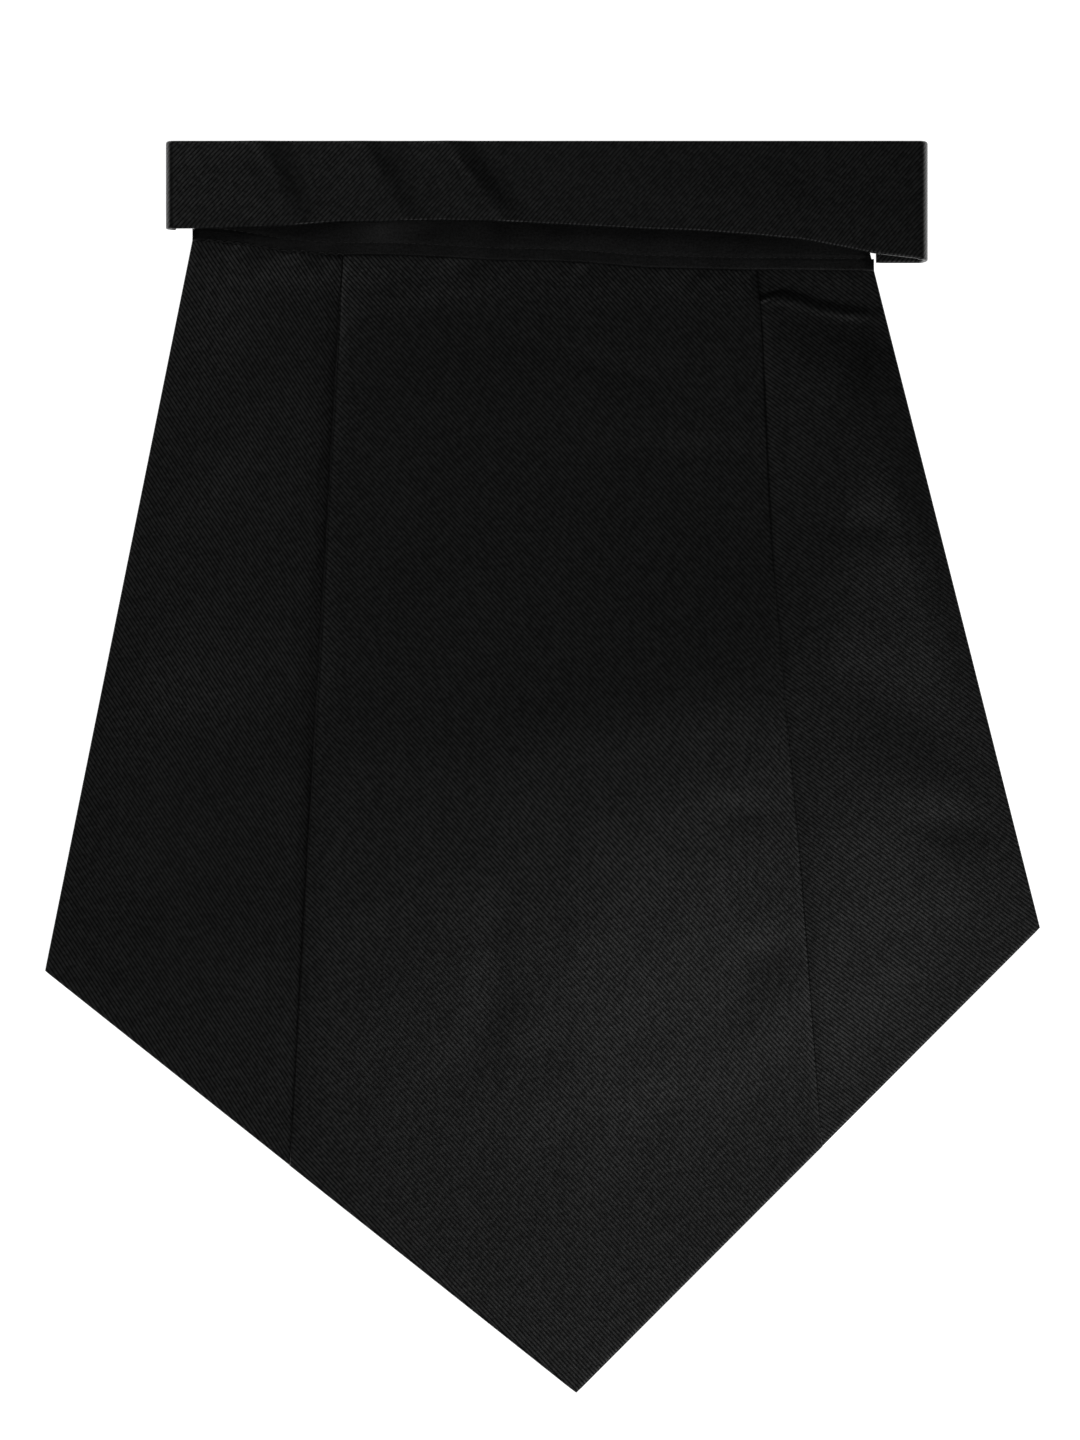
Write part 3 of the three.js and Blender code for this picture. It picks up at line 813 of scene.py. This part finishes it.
def band_section():
    """Round the folded strap: share of its width from the top, out past its edge, and height."""
    half = (BAND_WALL - BAND_CLOTH) / 2
    angles = np.pi * np.arange(1, EDGE_STEPS) / EDGE_STEPS
    beside = BESIDE_FOLD
    to_top = [(s, 0.0, -half) for s in (*np.linspace(0.49, 0.1, BACK_POINTS), beside, 0)]
    over = [(0.0, half * math.sin(a), -half * math.cos(a)) for a in angles]
    front = [(s, 0.0, half) for s in (0, beside, *np.linspace(0.05, 0.95, FRONT_POINTS), 1 - beside, 1)]
    under = [(1.0, -FOLD_REACH * math.sin(a), half * math.cos(a)) for a in angles]
    from_low = [(s, 0.0, -half) for s in (1, 1 - beside, *np.linspace(0.9, 0.51, BACK_POINTS))]
    return to_top + over + front + under + from_low


def neckband(material):
    """The section swept along the stations."""
    path = band_path()
    step = np.diff(path[:, :2], axis=0)
    gone = np.concatenate([[0], np.cumsum(np.linalg.norm(step, axis=1))])
    tangent = np.gradient(path[:, :2], gone, axis=0)
    tangent /= np.linalg.norm(tangent, axis=1)[:, None]
    outward = np.stack([-tangent[:, 1], tangent[:, 0]], axis=1)
    share, out, off = np.array(band_section()).T
    sheet, rows = Sheet(), []
    for (x, height, lower, creased), (nx, nz), length in zip(path, outward, gone):
        y = lerp(BAND_TOP - BAND_WALL / 2, lower + BAND_WALL / 2, share) + out
        around = np.concatenate([[0], np.cumsum(np.hypot(np.diff(y), np.diff(off)))])
        soft = rises(BAND_RISES, x, y) + ripple(x + 0 * y, y, *BAND_RIPPLE)
        soft = soft * creased * np.where(off > 0, 1.0, BACK_CREASED)
        flat_x, flat_y = turned(length, -around, BAND_GRAIN)
        points = np.column_stack([x + nx * off, y, height + nz * off + soft])
        rows.append(sheet.row(points, np.column_stack([flat_x, flat_y])))
    sheet.join(rows)
    return cloth_object("neckband_cloth", sheet, BAND_CLOTH, material)


# Stitches

THREAD_RADIUS = 0.09
STITCH_POINTS = 7
STITCH_SHARE = 0.72  # of the pitch that a stitch of the top row covers
WHIP_PITCH = 1.5
WHIP_FROM = -54.0
WHIP_TO = -33.0
WHIP_RADIUS = THREAD_RADIUS * 1.5
WHIP_SPREAD = (0.85, 1.2)  # of the stitches' lengths, as shares of the pitch
WHIP_RISE = (0.25, 0.6)
WHIP_OVERLAP = 0.97
WHIP_POINTS = 11
WHIP_LOW = 0.15  # how far its ends lie below the facing's edge
WHIP_HEIGHTS = (0.06, 0.35)  # on the facing: of its middle, and how much lower its ends lie
HAND_PITCH = 1.3
HAND_SPREAD = (0.8, 1.25)
HAND_LENGTH = 0.45
HAND_RISE = (0.35, 0.7)
HAND_THICKNESS = (0.6, 0.95)
HAND_TO = 51.5
HAND_LOW = 0.1  # how far its lower end lies above the facing's edge
HAND_HEIGHTS = (0.03, 0.14)
TOP_HEIGHTS = (-0.036, 0.126)
TOP_SPREAD = 0.05
TOP_ROW_HALF = 51.0  # the top row runs this far to both sides
THREAD_SIDES = 8
THREAD_RINGS = 0.2  # distance of its rings in the UV map
THREAD_ENDS = 0.96  # how close to its tip a thread's tube ends, as a share of half its length


def thread(mesh_data, path, radius):
    """Adds one closed tube of thread along the path, tapered where it goes into the cloth."""
    verts, faces, flat = mesh_data
    path = np.array(path)
    tangent = np.gradient(path, axis=0)
    tangent /= np.linalg.norm(tangent, axis=1)[:, None]
    side = np.cross(tangent, (0, 0, 1.0))
    side /= np.linalg.norm(side, axis=1)[:, None]
    top = np.cross(side, tangent)
    taper = np.sqrt(np.clip(1 - np.linspace(-THREAD_ENDS, THREAD_ENDS, len(path)) ** 4, 0, 1))
    start, around = len(verts), THREAD_SIDES
    for i, (point, s, t, share) in enumerate(zip(path, side, top, taper)):
        for k in range(around):
            a = 2 * math.pi * k / around
            verts.append(tuple(point + radius * share * (s * math.cos(a) + t * math.sin(a))))
            flat.append((i * THREAD_RINGS, k / around))
    for i in range(len(path) - 1):
        for k in range(around):
            p, q = start + i * around + k, start + i * around + (k + 1) % around
            faces.append((p, q, q + around, p + around))
    faces.append(tuple(start + k for k in range(around))[::-1])
    last = start + (len(path) - 1) * around
    faces.append(tuple(last + k for k in range(around)))


def on_facing(x, y, t, middle, lower):
    """The height of a stitch on the facing; its ends, at t = 0 and 1, lie lower than its middle."""
    surface = float(facing_height(np.array(x), np.array(y))) + SATIN_WALL / 2
    return surface + middle - lower * (2 * t - 1) ** 4


def top_row(data, draw):
    """The machine stitches along the facing, a little above its lower edge."""
    x = -TOP_ROW_HALF
    length = STITCH_PITCH * STITCH_SHARE
    while x < TOP_ROW_HALF:
        path = []
        for t in np.linspace(0, 1, STITCH_POINTS):
            px = x + length * t
            py = float(facing_edge(px)) + STITCH_LINE
            path.append((px, py, on_facing(px, py, t, *TOP_HEIGHTS)))
        thread(data, path, THREAD_RADIUS)
        x += STITCH_PITCH + draw.uniform(-TOP_SPREAD, TOP_SPREAD)


def hand_row(data, draw):
    """Small slanting stitches that hold the facing's lower edge to the blade."""
    x = WHIP_TO
    while x < HAND_TO:
        high = draw.uniform(*HAND_RISE)
        path = []
        for t in np.linspace(0, 1, STITCH_POINTS):
            px = x + HAND_LENGTH * t
            py = float(facing_edge(px)) + HAND_LOW + high * (1 - t)
            path.append((px, py, on_facing(px, py, t, *HAND_HEIGHTS)))
        thread(data, path, THREAD_RADIUS * draw.uniform(*HAND_THICKNESS))
        x += HAND_PITCH * draw.uniform(*HAND_SPREAD)


def whip_row(data, draw):
    """The looser loops of thread over the facing's edge at its left end."""
    x = WHIP_FROM
    while x < WHIP_TO:
        span = WHIP_PITCH * draw.uniform(*WHIP_SPREAD)
        rise = draw.uniform(*WHIP_RISE)
        path = []
        for t in np.linspace(0, 1, WHIP_POINTS):
            px = x + span * t
            py = float(facing_edge(px)) - WHIP_LOW + rise * math.sin(math.pi * t)
            path.append((px, py, on_facing(px, py, t, *WHIP_HEIGHTS)))
        thread(data, path, WHIP_RADIUS)
        x += span * WHIP_OVERLAP


def stitches(material):
    draw = np.random.default_rng(31)
    verts, faces, flat = [], [], []
    for row in (top_row, hand_row, whip_row):
        row((verts, faces, flat), draw)
    mesh = bpy.data.meshes.new("stitches")
    mesh.from_pydata((np.array(verts) * MM).tolist(), [], faces)
    return finished("stitches", mesh, np.array(flat), material)


# Materials


def node(tree, kind, inputs=None, **settings):
    """A new node with its settings, and its inputs as values or as links from other sockets."""
    made = tree.nodes.new(kind)
    for name, value in settings.items():
        setattr(made, name, value)
    for name, value in (inputs or {}).items():
        socket = made.inputs[name]
        if isinstance(value, bpy.types.NodeSocket):
            tree.links.new(value, socket)
        else:
            socket.default_value = value
    return made


def math_of(tree, operation, *values):
    return node(tree, "ShaderNodeMath", dict(enumerate(values)), operation=operation).outputs[0]


def noise(tree, place, scale, detail, roughness=0.5):
    inputs = {"Vector": place, "Scale": scale, "Detail": detail, "Roughness": roughness}
    return node(tree, "ShaderNodeTexNoise", inputs).outputs["Fac"]


def spread(tree, value, low, high):
    """Noise's usual range from 0.3 to 0.7, spread from low to high."""
    inputs = {"Value": value, "From Min": 0.3, "From Max": 0.7, "To Min": low, "To Max": high}
    return node(tree, "ShaderNodeMapRange", inputs).outputs["Result"]


def mixed(tree, factor, first, second):
    inputs = {"Factor": factor, "A": first, "B": second}
    return node(tree, "ShaderNodeMix", inputs, data_type="RGBA").outputs["Result"]


def grey(tree, value):
    inputs = {"Red": value, "Green": value, "Blue": value}
    return node(tree, "ShaderNodeCombineColor", inputs).outputs[0]


def scaled(tree, vector, factor):
    made = node(tree, "ShaderNodeVectorMath", {0: vector}, operation="SCALE")
    tree.links.new(factor, made.inputs["Scale"])
    return made.outputs[0]


def dot(tree, vector, other):
    made = node(tree, "ShaderNodeVectorMath", {0: vector, 1: other}, operation="DOT_PRODUCT")
    return made.outputs["Value"]


def bumped(tree, height, strength, distance):
    inputs = {"Strength": strength, "Distance": distance, "Height": height}
    return node(tree, "ShaderNodeBump", inputs).outputs[0]


def on_cloth(tree):
    """The place on the flat cloth, in millimetres."""
    return node(tree, "ShaderNodeUVMap", uv_map="cloth").outputs["UV"]


def finish_shader(tree, shader, **sockets):
    """Links what the named inputs of the shader are worked out from."""
    for name, socket in sockets.items():
        tree.links.new(socket, shader.inputs[name.replace("_", " ")])


def new_material(name):
    material = bpy.data.materials.new(name)
    material.use_nodes = True
    return material, material.node_tree, material.node_tree.nodes["Principled BSDF"]


TWILL_PITCH = 0.55  # from rib to rib
FLOAT_LENGTH = 0.42  # of one thread's stretch along a rib
FLOAT_SHIFT = 0.37  # how far the stretches of the next rib lie along it, as a share of their length
RIB_ANGLE = 133.0  # of the twill's ribs on the flat cloth
SATIN_BLACK = (0.0042, 0.0044, 0.0045)
# The grooves' colour is painted shade: the twill's black darkened between its ribs; the crests' colour is
# the cloth's own black.
GROOVE_PAINTED_SHADE = (0.0012, 0.0013, 0.0013, 1)
CREST = (0.0125, 0.0132, 0.0132, 1)
# The lower thread colour is painted shade between the plies; the higher one is the thread's own black on a
# ply.
THREAD_PLY_SHADE = (0.003, 0.003, 0.003, 1)
THREAD_HIGH = (0.010, 0.0105, 0.0105, 1)
STEEL_WORN = (0.22, 0.22, 0.23, 1)
STEEL_CLEAN = (0.42, 0.42, 0.43, 1)


def twill_ribs(tree, cloth):
    """Along and across the ribs, and how high each place of a rib stands, from 0 in a groove to 1."""
    rib = math.radians(RIB_ANGLE)
    across = dot(tree, cloth, (-math.sin(rib), math.cos(rib), 0))
    along = dot(tree, cloth, (math.cos(rib), math.sin(rib), 0))
    wander = math_of(tree, "MULTIPLY", noise(tree, cloth, 0.15, 1.0), 0.4)
    turns = math_of(tree, "MULTIPLY_ADD", across, 1 / TWILL_PITCH, wander)
    wave = math_of(tree, "SINE", math_of(tree, "MULTIPLY", turns, 2 * math.pi))
    level = math_of(tree, "MULTIPLY_ADD", wave, 0.5, 0.5)
    return along, across, turns, math_of(tree, "POWER", level, 0.6)


def twill_floats(tree, along, turns):
    """A shade of its own for each stretch of thread that floats on a rib."""
    rib = math_of(tree, "FLOOR", turns)
    shift = math_of(tree, "MULTIPLY", rib, FLOAT_SHIFT)
    place = math_of(tree, "MULTIPLY_ADD", along, 1 / FLOAT_LENGTH, shift)
    cell = node(tree, "ShaderNodeCombineXYZ", {"X": math_of(tree, "FLOOR", place), "Y": rib})
    chance = node(tree, "ShaderNodeTexWhiteNoise", {"Vector": cell.outputs[0]}, noise_dimensions="2D")
    return math_of(tree, "MULTIPLY_ADD", chance.outputs["Value"], 0.5, 0.75)


def twill_material():
    material, tree, shader = new_material("black_twill")
    cloth = on_cloth(tree)
    along, across, turns, ribs = twill_ribs(tree, cloth)
    stretched = {"X": math_of(tree, "MULTIPLY", along, 1.3), "Y": math_of(tree, "MULTIPLY", across, 3.4)}
    place = node(tree, "ShaderNodeCombineXYZ", stretched).outputs[0]
    yarn = noise(tree, place, 1.0, 2.0, 0.7)
    broad = noise(tree, cloth, 0.05, 2.0)
    lively = math_of(tree, "MULTIPLY", twill_floats(tree, along, turns), spread(tree, yarn, 0.90, 1.10))
    shade = math_of(tree, "MULTIPLY", lively, math_of(tree, "MULTIPLY_ADD", broad, 0.4, 0.8))
    # Painted shade: the reflections are dimmed in the grooves between the ribs, with a random tone for each
    # float.
    groove_shaded_reflection = math_of(tree, "MULTIPLY", math_of(tree, "MULTIPLY_ADD", ribs, 0.85, 0.15), lively)
    finish_shader(
        tree,
        shader,
        # Painted shade: the base colour darkens from the ribs' tops into the grooves.
        Base_Color=scaled(tree, mixed(tree, ribs, GROOVE_PAINTED_SHADE, CREST), shade),
        Specular_Tint=grey(tree, groove_shaded_reflection),
        Roughness=math_of(tree, "MULTIPLY_ADD", ribs, -0.10, 0.44),
        Normal=bumped(tree, math_of(tree, "MULTIPLY_ADD", yarn, 0.2, ribs), 0.5, 0.00004),
    )
    shader.inputs["Specular IOR Level"].default_value = 0.45
    return material


def satin_material():
    material, tree, shader = new_material("black_satin")
    cloth = on_cloth(tree)
    grain = noise(tree, cloth, 2.6, 3.0, 0.7)
    stretch = {0: cloth, 1: (0.6, 6.0, 1.0)}
    weft = node(tree, "ShaderNodeVectorMath", stretch, operation="MULTIPLY").outputs[0]
    fine = noise(tree, weft, 1.0, 2.0)
    broad = math_of(tree, "MULTIPLY_ADD", noise(tree, cloth, 0.12, 2.0), 1.0, 0.5)
    shade = math_of(tree, "MULTIPLY", spread(tree, grain, 0.55, 1.45), broad)
    finish_shader(
        tree,
        shader,
        Base_Color=scaled(tree, SATIN_BLACK, shade),
        Specular_Tint=grey(tree, shade),
        Roughness=math_of(tree, "MULTIPLY_ADD", fine, 0.12, 0.46),
        Normal=bumped(tree, math_of(tree, "MULTIPLY_ADD", grain, 1.0, fine), 0.5, 0.00004),
    )
    shader.inputs["Specular IOR Level"].default_value = 0.20
    return material


def thread_material():
    material, tree, shader = new_material("black_thread")
    turns = dot(tree, on_cloth(tree), (2.0, 3.0, 0))
    ply = math_of(tree, "SINE", math_of(tree, "MULTIPLY", turns, 2 * math.pi))
    level = math_of(tree, "MULTIPLY_ADD", ply, 0.5, 0.5)
    finish_shader(
        tree,
        shader,
        # Painted shade: the thread's colour darkens into the troughs between its plies.
        Base_Color=mixed(tree, level, THREAD_PLY_SHADE, THREAD_HIGH),
        Roughness=math_of(tree, "MULTIPLY_ADD", level, -0.15, 0.6),
        Normal=bumped(tree, level, 0.5, 0.00003),
    )
    shader.inputs["Specular IOR Level"].default_value = 0.4
    return material


def metal_material():
    material, tree, shader = new_material("hook_steel")
    place = node(tree, "ShaderNodeTexCoord").outputs["Object"]
    grain = noise(tree, place, 2500.0, 3.0)
    finish_shader(
        tree,
        shader,
        Base_Color=mixed(tree, noise(tree, place, 300.0, 2.0), STEEL_WORN, STEEL_CLEAN),
        Roughness=math_of(tree, "ADD", math_of(tree, "MULTIPLY", grain, 0.2), 0.25),
        Normal=bumped(tree, grain, 0.2, 0.00002),
    )
    shader.inputs["Metallic"].default_value = 1.0
    return material


# Stage

LOOK_AT = (-0.4, 7.44)  # the middle of the picture, in mm
CAMERA_HEIGHT = 1280.0
LENS = 200.0
LIGHT_SIZE = 0.20  # metres
LIGHTS = [
    # name, x, y, z in metres, watts
    ("front", 0.106, -0.183, 0.453, 0.195),
    ("side", 0.167, -0.290, 0.301, 0.27),
    ("right", 0.290, -0.167, 0.301, 0.27),
    ("left", -0.306, -0.177, 0.354, 0.10),
    ("fill", -0.161, 0.278, 0.383, 0.15),
    ("high", -0.150, 0.120, 0.420, 0.034),
]
WORLD_STRENGTH = 0.02
FLOOR_HALF = 1.5  # metres
FLOOR_Z = -0.0002
FLOOR_INPUTS = {
    "Base Color": (0.92, 0.92, 0.92, 1),
    "Emission Color": (1, 1, 1, 1),
    "Emission Strength": 1.0,
    "Roughness": 0.9,
    "Specular IOR Level": 0.0,
}


def aim(thing, target):
    """Turns a light or camera so that its -Z axis points at the target."""
    direction = [t - p for t, p in zip(target, thing.location)]
    flat = math.hypot(direction[0], direction[1])
    thing.rotation_euler = (math.atan2(flat, -direction[2]), 0, math.atan2(-direction[0], direction[1]))


def area_light(name, x, y, z, power):
    data = bpy.data.lights.new(name, "AREA")
    data.shape, data.size, data.energy = "SQUARE", LIGHT_SIZE, power
    light = bpy.data.objects.new(name, data)
    light.location = (x, y, z)
    aim(light, (0, 0, 0))
    bpy.context.scene.collection.objects.link(light)


def white_floor():
    mesh = bpy.data.meshes.new("floor")
    corners = [(-1, -1), (1, -1), (1, 1), (-1, 1)]
    mesh.from_pydata([(x * FLOOR_HALF, y * FLOOR_HALF, FLOOR_Z) for x, y in corners], [], [(0, 1, 2, 3)])
    material, _, shader = new_material("floor_white")
    for name, value in FLOOR_INPUTS.items():
        shader.inputs[name].default_value = value
    mesh.materials.append(material)
    floor = bpy.data.objects.new("floor", mesh)
    bpy.context.scene.collection.objects.link(floor)
    return floor


def studio_world():
    world = bpy.data.worlds.new("studio")
    world.use_nodes = True
    background = world.node_tree.nodes["Background"]
    background.inputs["Color"].default_value = (1, 1, 1, 1)
    background.inputs["Strength"].default_value = WORLD_STRENGTH
    return world


def camera_above():
    camera = bpy.data.objects.new("camera", bpy.data.cameras.new("camera"))
    camera.data.lens = LENS
    camera.location = (LOOK_AT[0] * MM, LOOK_AT[1] * MM, CAMERA_HEIGHT * MM)
    bpy.context.scene.collection.objects.link(camera)
    return camera


def stage():
    scene = bpy.context.scene
    floor = white_floor()
    for light in LIGHTS:
        area_light(*light)
    scene.world = studio_world()
    scene.view_settings.view_transform = "Standard"
    scene.camera = camera_above()


twill = twill_material()
satin = satin_material()
steel = metal_material()

blade_piece = blade(twill)
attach(blade_piece, "root")
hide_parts("blade")

lining_piece = lining(satin)
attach(lining_piece, "root")
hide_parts("lining")

band_piece = neckband(twill)
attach(band_piece, "root")
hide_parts("neckband")

stitch_piece = stitches(thread_material())
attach(stitch_piece, "root")

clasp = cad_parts["clasp"]
clasp.data.materials.clear()
clasp.data.materials.append(steel)

stage()
